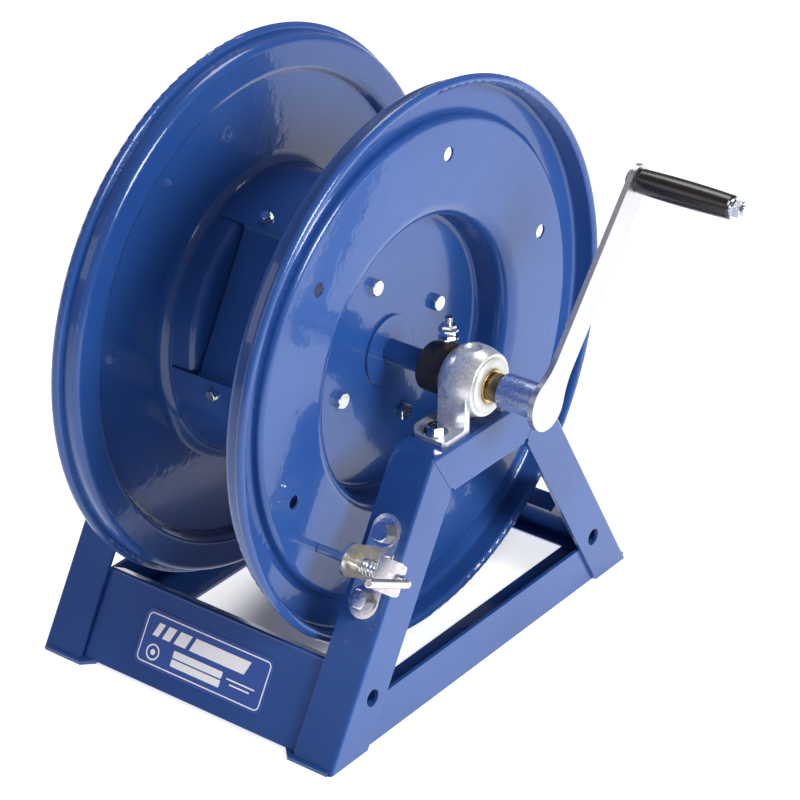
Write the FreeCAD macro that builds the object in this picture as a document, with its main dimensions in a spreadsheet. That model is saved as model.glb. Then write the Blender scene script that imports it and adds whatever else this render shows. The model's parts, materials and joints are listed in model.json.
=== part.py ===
import FreeCAD, Part
import math
import operator
import os
import Sketcher
from FreeCAD import Placement, Rotation, Vector

# Hand-crank reel for a welding lead. Millimetres. +X points to the crank, -Y to the front, +Z up.
# The origin lies on the floor, midway between the two reel discs and under the axle.

# Every driving dimension, in millimetres or degrees.
SIZES = {
    # side frames, bent from angle
    "frame_half_width": 148.5,
    "angle_width": 38.1,
    "angle_gauge": 3.2,
    "frame_top": 215.9,
    "foot_reach": 200.0,
    "shoulder_reach": 72.5,
    "web_foot_reach": 155.0,
    "web_shoulder_reach": 49.0,
    "web_opening_top": 179.0,
    "outer_bend_radius": 2.6,
    "relief_radius": 2.6,
    "seam_width": 0.7,
    "seam_depth": 0.6,
    "side_hole_radius": 7.15,
    "side_hole_reach": 148.5,
    "side_hole_height": 44.5,
    # base rails
    "rail_width": 47.2,
    "rail_reach": 201.5,
    "rail_corner": 9.0,
    "floor_hole_radius": 6.35,
    "floor_hole_side": 118.7,
    "floor_hole_reach": 134.0,
    # front and rear panels
    "panel_gauge": 2.5,
    "panel_setback": 4.6,
    "panel_top": 68.3,
    "panel_lip": 17.0,
    "label_length": 130.5,
    "label_height": 45.0,
    "label_corner": 6.0,
    "label_gauge": 0.6,
    "label_centre_side": 2.4,
    "label_centre_height": 34.1,
    # axle and bearings
    "axle_height": 249.2,
    "axle_radius": 9.525,
    "axle_left_end": 166.0,
    "axle_right_end": 196.0,
    "push_gap": 0.02,
    "run_gap": 0.05,
    "bearing_side": 140.5,
    "race_half_width": 7.2,
    "race_face_radius": 22.3,
    "race_bore": 19.6,
    "ball_radius": 3.57,
    "ball_circle": 17.0,
    "groove_radius": 3.66,
    "inner_race_radius": 14.4,
    "inner_race_nose": 13.0,
    "cage_inner": 15.4,
    "cage_outer": 18.6,
    "cage_half_width": 4.6,
    "shield_gauge": 1.0,
    "balls_per_bearing": 8,
    "housing_side": 129.0,
    "housing_radius": 28.4,
    "housing_rim_radius": 25.3,
    "housing_inner_face": 114.4,
    "housing_outer_face": 147.6,
    "housing_bore": 20.0,
    "housing_neck_reach": 27.2,
    "foot_inner_face": 106.5,
    "foot_outer_face": 143.8,
    "foot_reach_y": 52.0,
    "foot_gauge": 4.2,
    "foot_corner": 16.0,
    "foot_bolt_reach": 42.0,
    "foot_bolt_side": 127.7,
    "grease_hole_radius": 7.0,
    "neck_wall": 6.4,
    "neck_opening_start": 131.0,
    # reel
    "rim_side": 89.7,
    "bead_radius": 4.0,
    "disc_radius": 228.6,
    "disc_gauge": 2.0,
    "rim_floor": 73.3,
    "web_face": 83.2,
    "step_inner": 190.0,
    "dish_floor": 49.7,
    "dish_wall": 114.4,
    "dish_roll": 14.0,
    "dish_corner": 6.0,
    "rim_corner": 4.0,
    "lock_circle": 165.5,
    "lock_hole_radius": 5.75,
    "lock_hole_angle": 18.5,
    "disc_bolt_circle": 63.7,
    "disc_bolt_angle": 16.0,
    "hub_plate_radius": 29.0,
    "hub_plate_gauge": 2.5,
    "flange_radius": 78.0,
    "flange_gauge": 4.8,
    "drum_radius": 118.0,
    "drum_gauge": 1.5,
    "drum_reach": 70.0,
    "opening_start": 119.0,
    "opening_end": 181.5,
    "recess_reach": 46.0,
    "recess_depth": 96.2,
    "recess_half_chord": 57.3,
    "recess_gauge": 2.0,
    "tab_turn": 42.0,
    "tab_fold": 31.7,
    "drum_screw_side": 29.0,
    # crank
    "spacer_radius": 11.5,
    "spacer_end": 162.6,
    "hub_tube_radius": 14.25,
    "hub_tube_end": 196.7,
    "arm_gauge": 4.76,
    "arm_half_width": 12.7,
    "arm_pad_radius": 20.7,
    "arm_fillet": 60.0,
    "arm_length": 184.0,
    "arm_angle": 50.8,
    "grip_start": 202.2,
    "grip_end": 283.2,
    "grip_end_radius": 9.3,
    "grip_bulge": 900.0,
    # current collector
    "ring_radius": 13.0,
    "ring_inner_end": 89.6,
    "ring_outer_end": 113.4,
    "contact_radius": 15.6,
    "collector_radius": 19.8,
    "collector_inner_end": 90.0,
    "collector_outer_end": 113.6,
    "boss_side": 108.2,
    "boss_radius": 6.5,
    "boss_height": 28.6,
    "stud_height": 46.3,
    # lock
    "lock_side": 129.5,
    "lock_height": 139.0,
    "lock_plate_gauge": 3.0,
    "lock_plate_half_width": 13.3,
    "lock_plate_half_length": 28.0,
    "lock_bolt_reach": 26.5,
    "bracket_gauge": 2.5,
    "bracket_half_width": 13.0,
    "ear_inner": 117.0,
    "ear_outer": 140.0,
    "ear_height": 33.0,
    "guard_height": 19.0,
    "pin_lift": 12.5,
    "pin_drop": 1.5,
    "pin_radius": 3.5,
    "pin_tip": 83.45,
    "pin_handle_side": 169.5,
    "pin_bend": 6.0,
    "pin_handle_length": 56.0,
    "finger_tip": 165.6,
    "slot_half_width": 4.9,
    "slot_depth": 8.0,
    "washer_side": 127.4,
    "spring_wire": 0.6,
    "spring_radius": 6.1,
    "spring_turns": 3.5,
}

# Hexagon across flats, head height, nut height, shank radius, washer radius and washer gauge.
SMALL_BOLT = (12.7, 5.3, 6.7, 3.97, 9.5, 1.6)
LARGE_BOLT = (14.3, 6.2, 8.3, 4.76, 11.0, 1.8)
SCREW = (8.6, 3.4, 4.0, 2.4, 5.4, 1.0)
TERMINAL = (11.1, 4.6, 5.6, 3.175, 7.9, 1.3)
JAM_NUT = (11.1, 4.6, 3.2, 3.175, 7.9, 1.3)

ALONG_X = Rotation(Vector(0, 1, 0), 90)
AGAINST_X = Rotation(Vector(0, 1, 0), -90)
UPRIGHT = Rotation()


class Size:
    """A number together with the spreadsheet formula that gives it."""

    def __init__(self, value, formula):
        self.value = float(value)
        self.formula = formula

    def __add__(self, other):
        return combine(self, other, "+")

    def __radd__(self, other):
        return combine(other, self, "+")

    def __sub__(self, other):
        return combine(self, other, "-")

    def __rsub__(self, other):
        return combine(other, self, "-")

    def __mul__(self, other):
        return combine(self, other, "*")

    def __rmul__(self, other):
        return combine(other, self, "*")

    def __truediv__(self, other):
        return combine(self, other, "/")

    def __neg__(self):
        return combine(0, self, "-")


OPERATIONS = {"+": operator.add, "-": operator.sub, "*": operator.mul, "/": operator.truediv}


def as_size(number):
    """A Size as it is, or a plain number turned into one."""
    return number if isinstance(number, Size) else Size(number, repr(float(number)))


def combine(first, second, sign):
    first = as_size(first)
    second = as_size(second)
    value = OPERATIONS[sign](first.value, second.value)
    return Size(value, f"({first.formula} {sign} {second.formula})")


def root(number):
    return Size(math.sqrt(number.value), f"sqrt({number.formula})")


def cosine(angle):
    angle = as_size(angle)
    return Size(math.cos(math.radians(angle.value)), f"cos({angle.formula} * 1 deg)")


def sine(angle):
    angle = as_size(angle)
    return Size(math.sin(math.radians(angle.value)), f"sin({angle.formula} * 1 deg)")


doc = FreeCAD.newDocument("reel")
sheet = doc.addObject("Spreadsheet::Sheet", "Sheet")
for row, (alias, number) in enumerate(SIZES.items(), start=1):
    sheet.set(f"A{row}", alias)
    sheet.set(f"B{row}", str(number))
    sheet.setAlias(f"B{row}", alias)
doc.recompute()

parts = []


def size(alias):
    return Size(SIZES[alias], f"Sheet.{alias}")


def bind(thing, path, number):
    """Ties a property of a document object to its formula."""
    number = as_size(number)
    thing.setExpression(path, number.formula)


def keep(thing, name):
    """Marks a finished sub-part, which is written to a file of its own."""
    thing.Label = name
    parts.append((name, thing))
    return thing


def put(thing, spot, turn=UPRIGHT):
    """Places an object at three sizes, with a fixed rotation."""
    thing.Placement = Placement(Vector(*[as_size(s).value for s in spot]), turn)
    for axis, number in zip("xyz", spot):
        if isinstance(number, Size):
            bind(thing, f".Placement.Base.{axis}", number)
    return thing


# ---------------------------------------------------------------- sketches


def arc(start, end, radius):
    """The shorter arc between two points, its centre to the left for a positive radius."""
    middle = (start + end) * 0.5
    chord = end - start
    left = Vector(-chord.y, chord.x, 0).normalize()
    reach = math.sqrt(max(radius * radius - chord.Length ** 2 / 4, 0))
    centre = middle + left * math.copysign(reach, radius)
    from_start = math.atan2(start.y - centre.y, start.x - centre.x)
    from_end = math.atan2(end.y - centre.y, end.x - centre.x)
    circle = Part.Circle(centre, Vector(0, 0, 1), abs(radius))
    if radius > 0:
        return Part.ArcOfCircle(circle, from_start, from_end)
    return Part.ArcOfCircle(circle, from_end, from_start)


def trace(sketch, outline, closed=True):
    """Draws an outline. A corner's third value is the radius of the arc that leaves it."""
    points = [Vector(as_size(c[0]).value, as_size(c[1]).value, 0) for c in outline]
    rules = []
    formulas = []
    ends = []
    for index, corner in enumerate(outline if closed else outline[:-1]):
        start = points[index]
        end = points[(index + 1) % len(points)]
        if len(corner) == 3:
            radius = as_size(corner[2])
            edge = sketch.addGeometry(arc(start, end, radius.value))
            rules.append(Sketcher.Constraint("Radius", edge, abs(radius.value)))
            formulas.append(radius if radius.value > 0 else -radius)
            ends.append((edge, 1, 2) if radius.value > 0 else (edge, 2, 1))
        else:
            edge = sketch.addGeometry(Part.LineSegment(start, end))
            ends.append((edge, 1, 2))
    for index, (edge, first, last) in enumerate(ends):
        if closed or index + 1 < len(ends):
            following = ends[(index + 1) % len(ends)]
            rules.append(Sketcher.Constraint("Coincident", edge, last, following[0], following[1]))
            formulas.append(None)
        for kind, axis, number in zip(("DistanceX", "DistanceY"), (-2, -1), outline[index][:2]):
            number = as_size(number)
            if abs(number.value) < 1e-9:
                rules.append(Sketcher.Constraint("PointOnObject", edge, first, axis))
                formulas.append(None)
            else:
                rules.append(Sketcher.Constraint(kind, -1, 1, edge, first, number.value))
                formulas.append(number)
    bind_rules(sketch, rules, formulas)


def round_holes(sketch, centres, radius):
    """Draws circles of one radius."""
    rules = []
    formulas = []
    for centre in centres:
        x, y = (as_size(number) for number in centre)
        circle = Part.Circle(Vector(x.value, y.value, 0), Vector(0, 0, 1), as_size(radius).value)
        edge = sketch.addGeometry(circle)
        rules.append(Sketcher.Constraint("Radius", edge, as_size(radius).value))
        formulas.append(as_size(radius))
        for kind, axis, number in (("DistanceX", -2, x), ("DistanceY", -1, y)):
            if abs(number.value) < 1e-9:
                rules.append(Sketcher.Constraint("PointOnObject", edge, 3, axis))
                formulas.append(None)
            else:
                rules.append(Sketcher.Constraint(kind, -1, 1, edge, 3, number.value))
                formulas.append(number)
    bind_rules(sketch, rules, formulas)


def bind_rules(sketch, rules, formulas):
    before = sketch.ConstraintCount
    sketch.addConstraint(rules)
    for index, number in enumerate(formulas, start=before):
        if number is not None:
            bind(sketch, f"Constraints[{index}]", number)


def plain_body(name):
    return doc.addObject("PartDesign::Body", name)


def new_body(name):
    return keep(plain_body(name), name)


def new_sketch(body, role, offset=0.0):
    """A sketch on one of the body's own origin planes, moved along its normal."""
    sketch = body.newObject("Sketcher::SketchObject", f"{body.Name}_sketch")
    plane = next(f for f in body.Origin.OriginFeatures if f.Role == role)
    sketch.AttachmentSupport = [(plane, "")]
    sketch.MapMode = "FlatFace"
    offset = as_size(offset)
    sketch.AttachmentOffset = Placement(Vector(0, 0, offset.value), UPRIGHT)
    bind(sketch, ".AttachmentOffset.Base.z", offset)
    return sketch


def pad(body, sketch, length):
    feature = body.newObject("PartDesign::Pad", f"{body.Name}_pad")
    feature.Profile = sketch
    bind(feature, "Length", length)
    return feature


def pocket(body, sketch):
    """Cuts a sketch right through the body, both ways."""
    feature = body.newObject("PartDesign::Pocket", f"{body.Name}_pocket")
    feature.Profile = sketch
    feature.SideType = "Symmetric"
    feature.Type = "ThroughAll"
    return feature


def round_edges(body, edges, radius):
    """Rounds named edges of the body as it stands."""
    base = body.Tip
    feature = body.newObject("PartDesign::Fillet", f"{body.Name}_round")
    feature.Base = (base, edges)
    bind(feature, "Radius", radius)
    doc.recompute()


def prism(name, role, outline, start, length):
    """A body made by padding one outline from start, along the plane's normal."""
    body = new_body(name)
    sketch = new_sketch(body, role, start)
    trace(sketch, outline)
    pad(body, sketch, length)
    return body


def turned(name, outline):
    return revolved(new_body(name), outline)


def revolved(body, outline):
    """Fills a body by revolution about its own X axis. The outline is in x and radius."""
    sketch = new_sketch(body, "XY_Plane")
    trace(sketch, outline)
    revolution = body.newObject("PartDesign::Revolution", f"{body.Name}_revolution")
    revolution.Profile = sketch
    revolution.ReferenceAxis = (sketch, ["H_Axis"])
    revolution.Angle = 360
    return body


def ring(name, start, end, inner, outer):
    return turned(name, [(start, inner), (end, inner), (end, outer), (start, outer)])


def drill(body, role, centres, radius):
    sketch = new_sketch(body, role)
    round_holes(sketch, centres, radius)
    return pocket(body, sketch)


def on_axle(thing, side=1):
    """Puts a piece modelled about the X axis on the axle. The left side's pieces are turned about Z."""
    turn = UPRIGHT if side > 0 else Rotation(Vector(0, 0, 1), 180)
    return put(thing, (0, 0, size("axle_height")), turn)


# ---------------------------------------------------------------- plain solids and fasteners


def cylinder(radius, height, spot, turn=UPRIGHT):
    thing = doc.addObject("Part::Cylinder", "cylinder")
    bind(thing, "Radius", radius)
    bind(thing, "Height", height)
    return put(thing, spot, turn)


def hexagon(across_flats, height, spot, turn=UPRIGHT):
    thing = doc.addObject("Part::Prism", "hexagon")
    thing.Polygon = 6
    bind(thing, "Circumradius", across_flats / math.sqrt(3))
    bind(thing, "Height", height)
    return put(thing, spot, turn)


def fused(pieces):
    thing = doc.addObject("Part::MultiFuse", "fusion")
    thing.Shapes = pieces
    return thing


def cut(base, tool):
    thing = doc.addObject("Part::Cut", "cut")
    thing.Base = base
    thing.Tool = tool
    return thing


def open_with(name, tools):
    """Cuts holes into a sub-part that is already kept."""
    index = [label for label, _ in parts].index(name)
    plain = parts[index][1]
    opened = cut(plain, fused(tools))
    plain.Label = f"{name}_plain"
    opened.Label = name
    parts[index] = (name, opened)


def group(name, pieces):
    """Identical separate solids under one name."""
    thing = doc.addObject("Part::Compound", name)
    thing.Links = pieces
    return keep(thing, name)


def shifted(spot, turn, distance):
    """A spot moved along the local Z of a rotation."""
    way = turn.multVec(Vector(0, 0, 1))
    return tuple(
        place + distance * round(part, 9) if abs(part) > 1e-9 else place
        for place, part in zip(spot, (way.x, way.y, way.z))
    )


def crowned(across_flats, height, spot, turn):
    """A hexagonal head with its outer corners turned off in a cone."""
    head = hexagon(across_flats, height, spot, turn)
    cone = doc.addObject("Part::Cone", "cone")
    bind(cone, "Radius1", across_flats * 0.47 + height * 1.7)
    bind(cone, "Radius2", across_flats * 0.47)
    bind(cone, "Height", height)
    put(cone, spot, turn)
    common = doc.addObject("Part::Common", "common")
    common.Base = head
    common.Tool = cone
    return common


def bolt(kind, spot, turn, reach):
    """A bolt whose head stands on spot along the local Z, with its shank going the other way."""
    flats, head_height, _, radius, _, _ = kind
    head = crowned(flats, head_height, spot, turn)
    shank = cylinder(radius, reach, shifted(spot, turn, -as_size(reach)), turn)
    return fused([head, shank])


def washer(kind, spot, turn, gap=0.15):
    """A flat washer standing on spot along the local Z."""
    radius, outer, gauge = kind[3], kind[4], kind[5]
    disc = cylinder(outer, gauge, spot, turn)
    hole = cylinder(radius + gap, gauge + 2, shifted(spot, turn, as_size(-1)), turn)
    return cut(disc, hole)


def nut(kind, spot, turn):
    flats, height, radius = kind[0], kind[2], kind[3]
    body = crowned(flats, height, spot, turn)
    hole = cylinder(radius + 0.02, height + 2, shifted(spot, turn, as_size(-1)), turn)
    return cut(body, hole)


# ---------------------------------------------------------------- frame

run = size("foot_reach") - size("shoulder_reach")
leg_length = root(run * run + size("frame_top") * size("frame_top"))
lean = run / size("frame_top")
leg_along = run / leg_length
leg_up = size("frame_top") / leg_length
leg_gauge = size("angle_gauge") / leg_up
lean_angle = math.degrees(math.atan(lean.value))


def leg_face(height):
    """How far the outer face of a leg stands from the middle, at a height."""
    return size("foot_reach") - lean * height


def mirrored(half):
    """A closed outline from its half at positive x, mirrored about x = 0."""
    other = [(-corner[0], corner[1]) for corner in reversed(half)]
    return half + other


def side_frame(name, side):
    """An A-shaped frame bent from one length of angle."""
    body = new_body(name)
    gauge = size("angle_gauge")
    outer = size("frame_half_width")
    web = mirrored([
        (size("web_shoulder_reach"), size("web_opening_top")),
        (size("web_foot_reach"), 0),
        (size("foot_reach"), 0),
        (size("shoulder_reach"), size("frame_top")),
    ])
    start = outer - gauge if side > 0 else -outer
    sketch = new_sketch(body, "YZ_Plane", start)
    trace(sketch, web)
    pad(body, sketch, gauge)
    flange_top = size("frame_top") - gauge
    flange = [
        (leg_face(gauge), gauge),
        (size("shoulder_reach"), size("frame_top")),
        (-size("shoulder_reach"), size("frame_top")),
        (-leg_face(gauge), gauge),
        (leg_gauge - leg_face(gauge), gauge),
        (leg_gauge - leg_face(flange_top), flange_top),
        (leg_face(flange_top) - leg_gauge, flange_top),
        (leg_face(gauge) - leg_gauge, gauge),
    ]
    width = size("angle_width")
    start = outer - width if side > 0 else gauge - outer
    sketch = new_sketch(body, "YZ_Plane", start)
    trace(sketch, flange)
    pad(body, sketch, width - gauge)
    doc.recompute()
    round_edges(body, outer_edges(body, side), size("outer_bend_radius"))
    reach = size("side_hole_reach")
    height = size("side_hole_height")
    drill(body, "YZ_Plane", [(reach, height), (-reach, height)], size("side_hole_radius"))
    relief = [(size("web_shoulder_reach"), size("web_opening_top")),
              (-size("web_shoulder_reach"), size("web_opening_top"))]
    drill(body, "YZ_Plane", relief, size("relief_radius"))
    across = side * size("foot_bolt_side")
    centres = [(across, size("foot_bolt_reach")), (across, -size("foot_bolt_reach"))]
    drill(body, "XY_Plane", centres, SMALL_BOLT[3] + 0.3)
    mitre_seams(body, side)
    return body


def mitre_seams(body, side):
    """A shallow seam in the web at each shoulder, from the relief hole to the outer corner."""
    low = (size("web_shoulder_reach"), size("web_opening_top"))
    high = (size("shoulder_reach"), size("frame_top"))
    across = high[0] - low[0]
    up = high[1] - low[1]
    half = size("seam_width") / (root(across * across + up * up) * 2)
    sketch = new_sketch(body, "YZ_Plane", size("frame_half_width") * side)
    for end in (1, -1):
        trace(sketch, [
            ((low[0] + up * half) * end, low[1] - across * half),
            ((high[0] + up * half) * end, high[1] - across * half),
            ((high[0] - up * half) * end, high[1] + across * half),
            ((low[0] - up * half) * end, low[1] + across * half),
        ])
    seam = body.newObject("PartDesign::Pocket", f"{body.Name}_seam")
    seam.Profile = sketch
    seam.Reversed = side < 0
    bind(seam, "Length", size("seam_depth"))


def outer_edges(body, side):
    """The edges where the web turns into the flange: the legs' and the top's outer corners."""
    found = []
    plane = side * SIZES["frame_half_width"]
    for index, edge in enumerate(body.Shape.Edges, start=1):
        ends = [vertex.Point for vertex in edge.Vertexes]
        if any(abs(end.x - plane) > 0.01 for end in ends):
            continue
        reach = [abs(end.y) - leg_face(end.z).value for end in ends]
        if all(abs(gap) < 0.01 for gap in reach) and abs(ends[0].z + ends[1].z) > 1:
            found.append(f"Edge{index}")
    return found


def base_rail(name, side):
    """An angle between the feet, its flange on the floor."""
    body = new_body(name)
    gauge = size("angle_gauge")
    outer = side * (size("frame_half_width") - gauge)
    inner = outer - side * size("rail_width")
    reach = size("rail_reach")
    corner = size("rail_corner")
    sketch = new_sketch(body, "XY_Plane")
    trace(sketch, [
        (outer, -reach),
        (outer, reach),
        (inner + side * corner, reach),
        (inner, reach - corner),
        (inner, corner - reach),
        (inner + side * corner, -reach),
    ])
    pad(body, sketch, gauge)
    play = 0.4
    foot = leg_face(gauge) - leg_gauge - play
    shoulder = leg_face(size("angle_width")) - leg_gauge - play
    sketch = new_sketch(body, "YZ_Plane", outer - gauge if side > 0 else outer)
    trace(sketch, [
        (foot, gauge),
        (shoulder, size("angle_width")),
        (-shoulder, size("angle_width")),
        (-foot, gauge),
    ])
    pad(body, sketch, gauge)
    across = side * size("floor_hole_side")
    reach = size("floor_hole_reach")
    centres = [(across, 0), (across, reach), (across, -reach)]
    drill(body, "XY_Plane", centres, size("floor_hole_radius"))
    return body


def end_panel(name, side):
    """A folded panel between two legs, set back from their faces. It leans as they do."""
    gauge = size("panel_gauge")
    low = size("angle_gauge")
    high = size("panel_top")
    lip = size("panel_lip")

    def face(height, depth):
        """A point of the panel, depth behind its face, seen at a height on the face."""
        reach = leg_face(height) - size("panel_setback") - leg_up * depth
        return (side * reach, height - leg_along * depth)

    def level(height, depth):
        reach = leg_face(height) - size("panel_setback") - depth
        return (side * reach, height)

    outline = [
        face(low, 0),
        face(high - leg_up * gauge, 0) + (gauge * side,),
        face(high, gauge),
        face(high, lip),
        face(high - leg_up * gauge, lip),
        face(high - leg_up * gauge, gauge),
        level(low + gauge, gauge / leg_up),
        level(low + gauge, lip),
        level(low, lip),
    ]
    half = size("frame_half_width") - size("angle_width") - 0.2
    return prism(name, "YZ_Plane", outline, -half, half * 2)


def label_plate():
    half_length = size("label_length") / 2
    half_height = size("label_height") / 2
    corner = size("label_corner")
    body = prism("label_plate", "XY_Plane", [
        (half_length - corner, half_height),
        (corner - half_length, half_height, corner),
        (-half_length, half_height - corner),
        (-half_length, corner - half_height, corner),
        (corner - half_length, -half_height),
        (half_length - corner, -half_height, corner),
        (half_length, corner - half_height),
        (half_length, half_height - corner, corner),
    ], 0, size("label_gauge"))
    height = size("label_centre_height")
    spot = (size("label_centre_side"), size("panel_setback") - leg_face(height), height)
    return put(body, spot, Rotation(Vector(1, 0, 0), 90 - lean_angle))


side_frame("right_side_frame", 1)
side_frame("left_side_frame", -1)
base_rail("right_base_rail", 1)
base_rail("left_base_rail", -1)
end_panel("front_panel", -1)
end_panel("rear_panel", 1)
label_plate()

# ---------------------------------------------------------------- bearings

race_centre = size("bearing_side")
race_end = race_centre + size("race_half_width")
race_start = race_centre - size("race_half_width")
race_ball = root(size("race_face_radius") * size("race_face_radius")
                 + size("race_half_width") * size("race_half_width"))


def bearing_housing(name, side):
    """A cast pillow block with a spherical seat for the outer race."""
    body = new_body(name)
    inner = size("housing_inner_face")
    outer = size("housing_outer_face")
    crown = size("housing_side")
    top = size("housing_radius")
    rim = size("housing_rim_radius")
    bore = size("housing_bore")
    brow_reach = outer - crown - 3.2
    brow = (brow_reach * brow_reach + (top - rim) * (top - rim)) / ((top - rim) * 2)
    seat = race_ball + 0.03
    seat_mouth = root(seat * seat - (outer - race_centre) * (outer - race_centre))
    seat_back = root(seat * seat - size("race_half_width") * size("race_half_width"))
    sketch = new_sketch(body, "XY_Plane")
    trace(sketch, [
        (inner, bore),
        (outer, bore),
        (outer, rim - 1.2, 1.2),
        (outer - 1.2, rim, brow),
        (crown + 2, top),
        (crown - 2, top, 30.0),
        (inner + 1.2, 22.7, 1.6),
        (inner, 21.5),
    ])
    revolution = body.newObject("PartDesign::Revolution", f"{name}_barrel")
    revolution.Profile = sketch
    revolution.ReferenceAxis = (sketch, ["H_Axis"])
    revolution.Angle = 360
    ground = size("frame_top") - size("axle_height")
    reach = size("housing_neck_reach")
    near = size("foot_inner_face")
    far = size("foot_outer_face")
    foot = size("foot_reach_y")
    corner = size("foot_corner")
    sketch = new_sketch(body, "XY_Plane", ground)
    opening = reach - size("neck_wall")
    opening_start = size("neck_opening_start")
    trace(sketch, [
        (far, foot - 3),
        (far - 3, foot),
        (near + corner, foot, corner),
        (near, foot - corner),
        (near, corner - foot, corner),
        (near + corner, -foot),
        (far - 3, -foot),
        (far, 3 - foot),
        (far, -opening),
        (opening_start, -opening),
        (opening_start, opening),
        (far, opening),
    ])
    pad(body, sketch, size("foot_gauge"))
    floor = size("foot_gauge") + ground
    sketch = new_sketch(body, "YZ_Plane", crown - 11)
    trace(sketch, [
        (reach - 1, 0),
        (1 - reach, 0),
        (-reach, floor + 2.6, -2.6),
        (-reach - 2.6, floor),
        (-reach - 2.6, ground + 1),
        (reach + 2.6, ground + 1),
        (reach + 2.6, floor, -2.6),
        (reach, floor + 2.6),
    ])
    pad(body, sketch, opening_start - crown + 11)
    for way in (1, -1):
        sketch = new_sketch(body, "YZ_Plane", opening_start - 0.5)
        trace(sketch, [
            ((reach - 1) * way, 0),
            (opening * way, 0),
            (opening * way, ground + 1),
            ((reach + 2.6) * way, ground + 1),
            ((reach + 2.6) * way, floor, -2.6 * way),
            (reach * way, floor + 2.6),
        ])
        pad(body, sketch, far - opening_start + 0.5)
    sketch = new_sketch(body, "XY_Plane")
    trace(sketch, [
        (crown - 15, 0),
        (outer + 1, 0),
        (outer + 1, seat_mouth),
        (outer, seat_mouth, seat),
        (race_start, seat_back),
        (race_start, bore),
        (crown - 15, bore),
    ])
    groove = body.newObject("PartDesign::Groove", f"{name}_seat")
    groove.Profile = sketch
    groove.ReferenceAxis = (sketch, ["H_Axis"])
    groove.Angle = 360
    across = size("foot_bolt_side")
    centres = [(across, size("foot_bolt_reach")), (across, -size("foot_bolt_reach"))]
    drill(body, "XY_Plane", centres, SMALL_BOLT[3] + 0.3)
    sketch = new_sketch(body, "XY_Plane", top - 2.6)
    round_holes(sketch, [(crown + 2.5, 0)], size("grease_hole_radius"))
    dimple = body.newObject("PartDesign::Pocket", f"{name}_dimple")
    dimple.Profile = sketch
    dimple.Reversed = True
    dimple.Length = 10
    return on_axle(body, side)


def bearing(side_name, side):
    """The parts of one ball bearing."""
    groove = size("groove_radius")
    circle = size("ball_circle")
    bore = size("race_bore")
    lip = root(groove * groove - (bore - circle) * (bore - circle))
    face = size("race_face_radius")
    on_axle(turned(f"{side_name}_outer_race", [
        (race_start, bore),
        (race_centre - lip, bore, -groove),
        (race_centre + lip, bore),
        (race_end, bore),
        (race_end, face, race_ball),
        (race_start, face),
    ]), side)
    hub = size("inner_race_radius")
    lip = root(groove * groove - (circle - hub) * (circle - hub))
    inside = size("axle_radius") + size("push_gap")
    nose = size("inner_race_nose")
    on_axle(turned(f"{side_name}_inner_race", [
        (race_start, inside),
        (race_end + 2.8, inside),
        (race_end + 2.8, nose),
        (race_end, nose),
        (race_end, hub),
        (race_centre + lip, hub, -groove),
        (race_centre - lip, hub),
        (race_start, hub),
    ]), side)
    gauge = size("shield_gauge")
    start = race_start + 0.3
    shields.append(on_axle(revolved(plain_body(f"{side_name}_inner_shield"), [
        (start, hub + 0.3),
        (start + gauge, hub + 0.3),
        (start + gauge, bore - 0.03),
        (start, bore - 0.03),
    ]), side))
    back = race_end + 0.3
    shields.append(on_axle(revolved(plain_body(f"{side_name}_outer_shield"), [
        (race_end, bore + 0.1),
        (race_end, face - 0.4),
        (race_end + 0.9, face - 0.4, -6.5),
        (race_end + 2.5, face - 4.6, -6.5),
        (back + 1.0, nose + 0.3),
        (back, nose + 0.3),
        (back, bore + 0.1),
    ]), side))
    half = size("cage_half_width")
    cage = ring(f"{side_name}_cage", race_centre - half, race_centre + half,
                size("cage_inner"), size("cage_outer"))
    doc.recompute()
    sketch = new_sketch(cage, "XY_Plane", size("cage_inner") - 4)
    round_holes(sketch, [(race_centre, 0)], size("ball_radius") + 0.1)
    window = cage.newObject("PartDesign::Pocket", f"{side_name}_cage_window")
    window.Profile = sketch
    window.Reversed = True
    window.Length = 12
    doc.recompute()
    windows = cage.newObject("PartDesign::PolarPattern", f"{side_name}_cage_windows")
    windows.Originals = [window]
    x_axis = next(f for f in cage.Origin.OriginFeatures if f.Role == "X_Axis")
    windows.Axis = (x_axis, [""])
    windows.Angle = 360
    bind(windows, "Occurrences", size("balls_per_bearing"))
    cage.Tip = windows
    on_axle(cage, side)
    balls = []
    count = SIZES["balls_per_bearing"]
    for index in range(count):
        angle = 90 + 360 * index / count
        ball = doc.addObject("Part::Sphere", "ball")
        bind(ball, "Radius", size("ball_radius"))
        balls.append(put(ball, (race_centre, circle * cosine(angle), circle * sine(angle))))
    on_axle(group(f"{side_name}_balls", balls), side)


SIDES = (("right", 1), ("left", -1))
shields = []
for side_name, side in SIDES:
    bearing_housing(f"{side_name}_bearing_housing", side)
    bearing(side_name, side)
group("bearing_shields", shields)

foot_top = size("frame_top") + size("foot_gauge")
flange_under = size("frame_top") - size("angle_gauge")
bolts = []
washers = []
nuts = []
DOWNWARD = Rotation(Vector(1, 0, 0), 180)
for _, side in SIDES:
    for end in (1, -1):
        x = side * size("foot_bolt_side")
        y = end * size("foot_bolt_reach")
        washers.append(washer(SMALL_BOLT, (x, y, foot_top), UPRIGHT))
        bolts.append(bolt(SMALL_BOLT, (x, y, foot_top + SMALL_BOLT[5]), UPRIGHT, 22.0))
        nuts.append(nut(SMALL_BOLT, (x, y, flange_under), DOWNWARD))
group("housing_bolts", bolts)
group("housing_washers", washers)
group("housing_nuts", nuts)

# ---------------------------------------------------------------- reel

shaft_bore = size("axle_radius") + size("push_gap")
dish_back = size("dish_floor") - size("disc_gauge")


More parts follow.
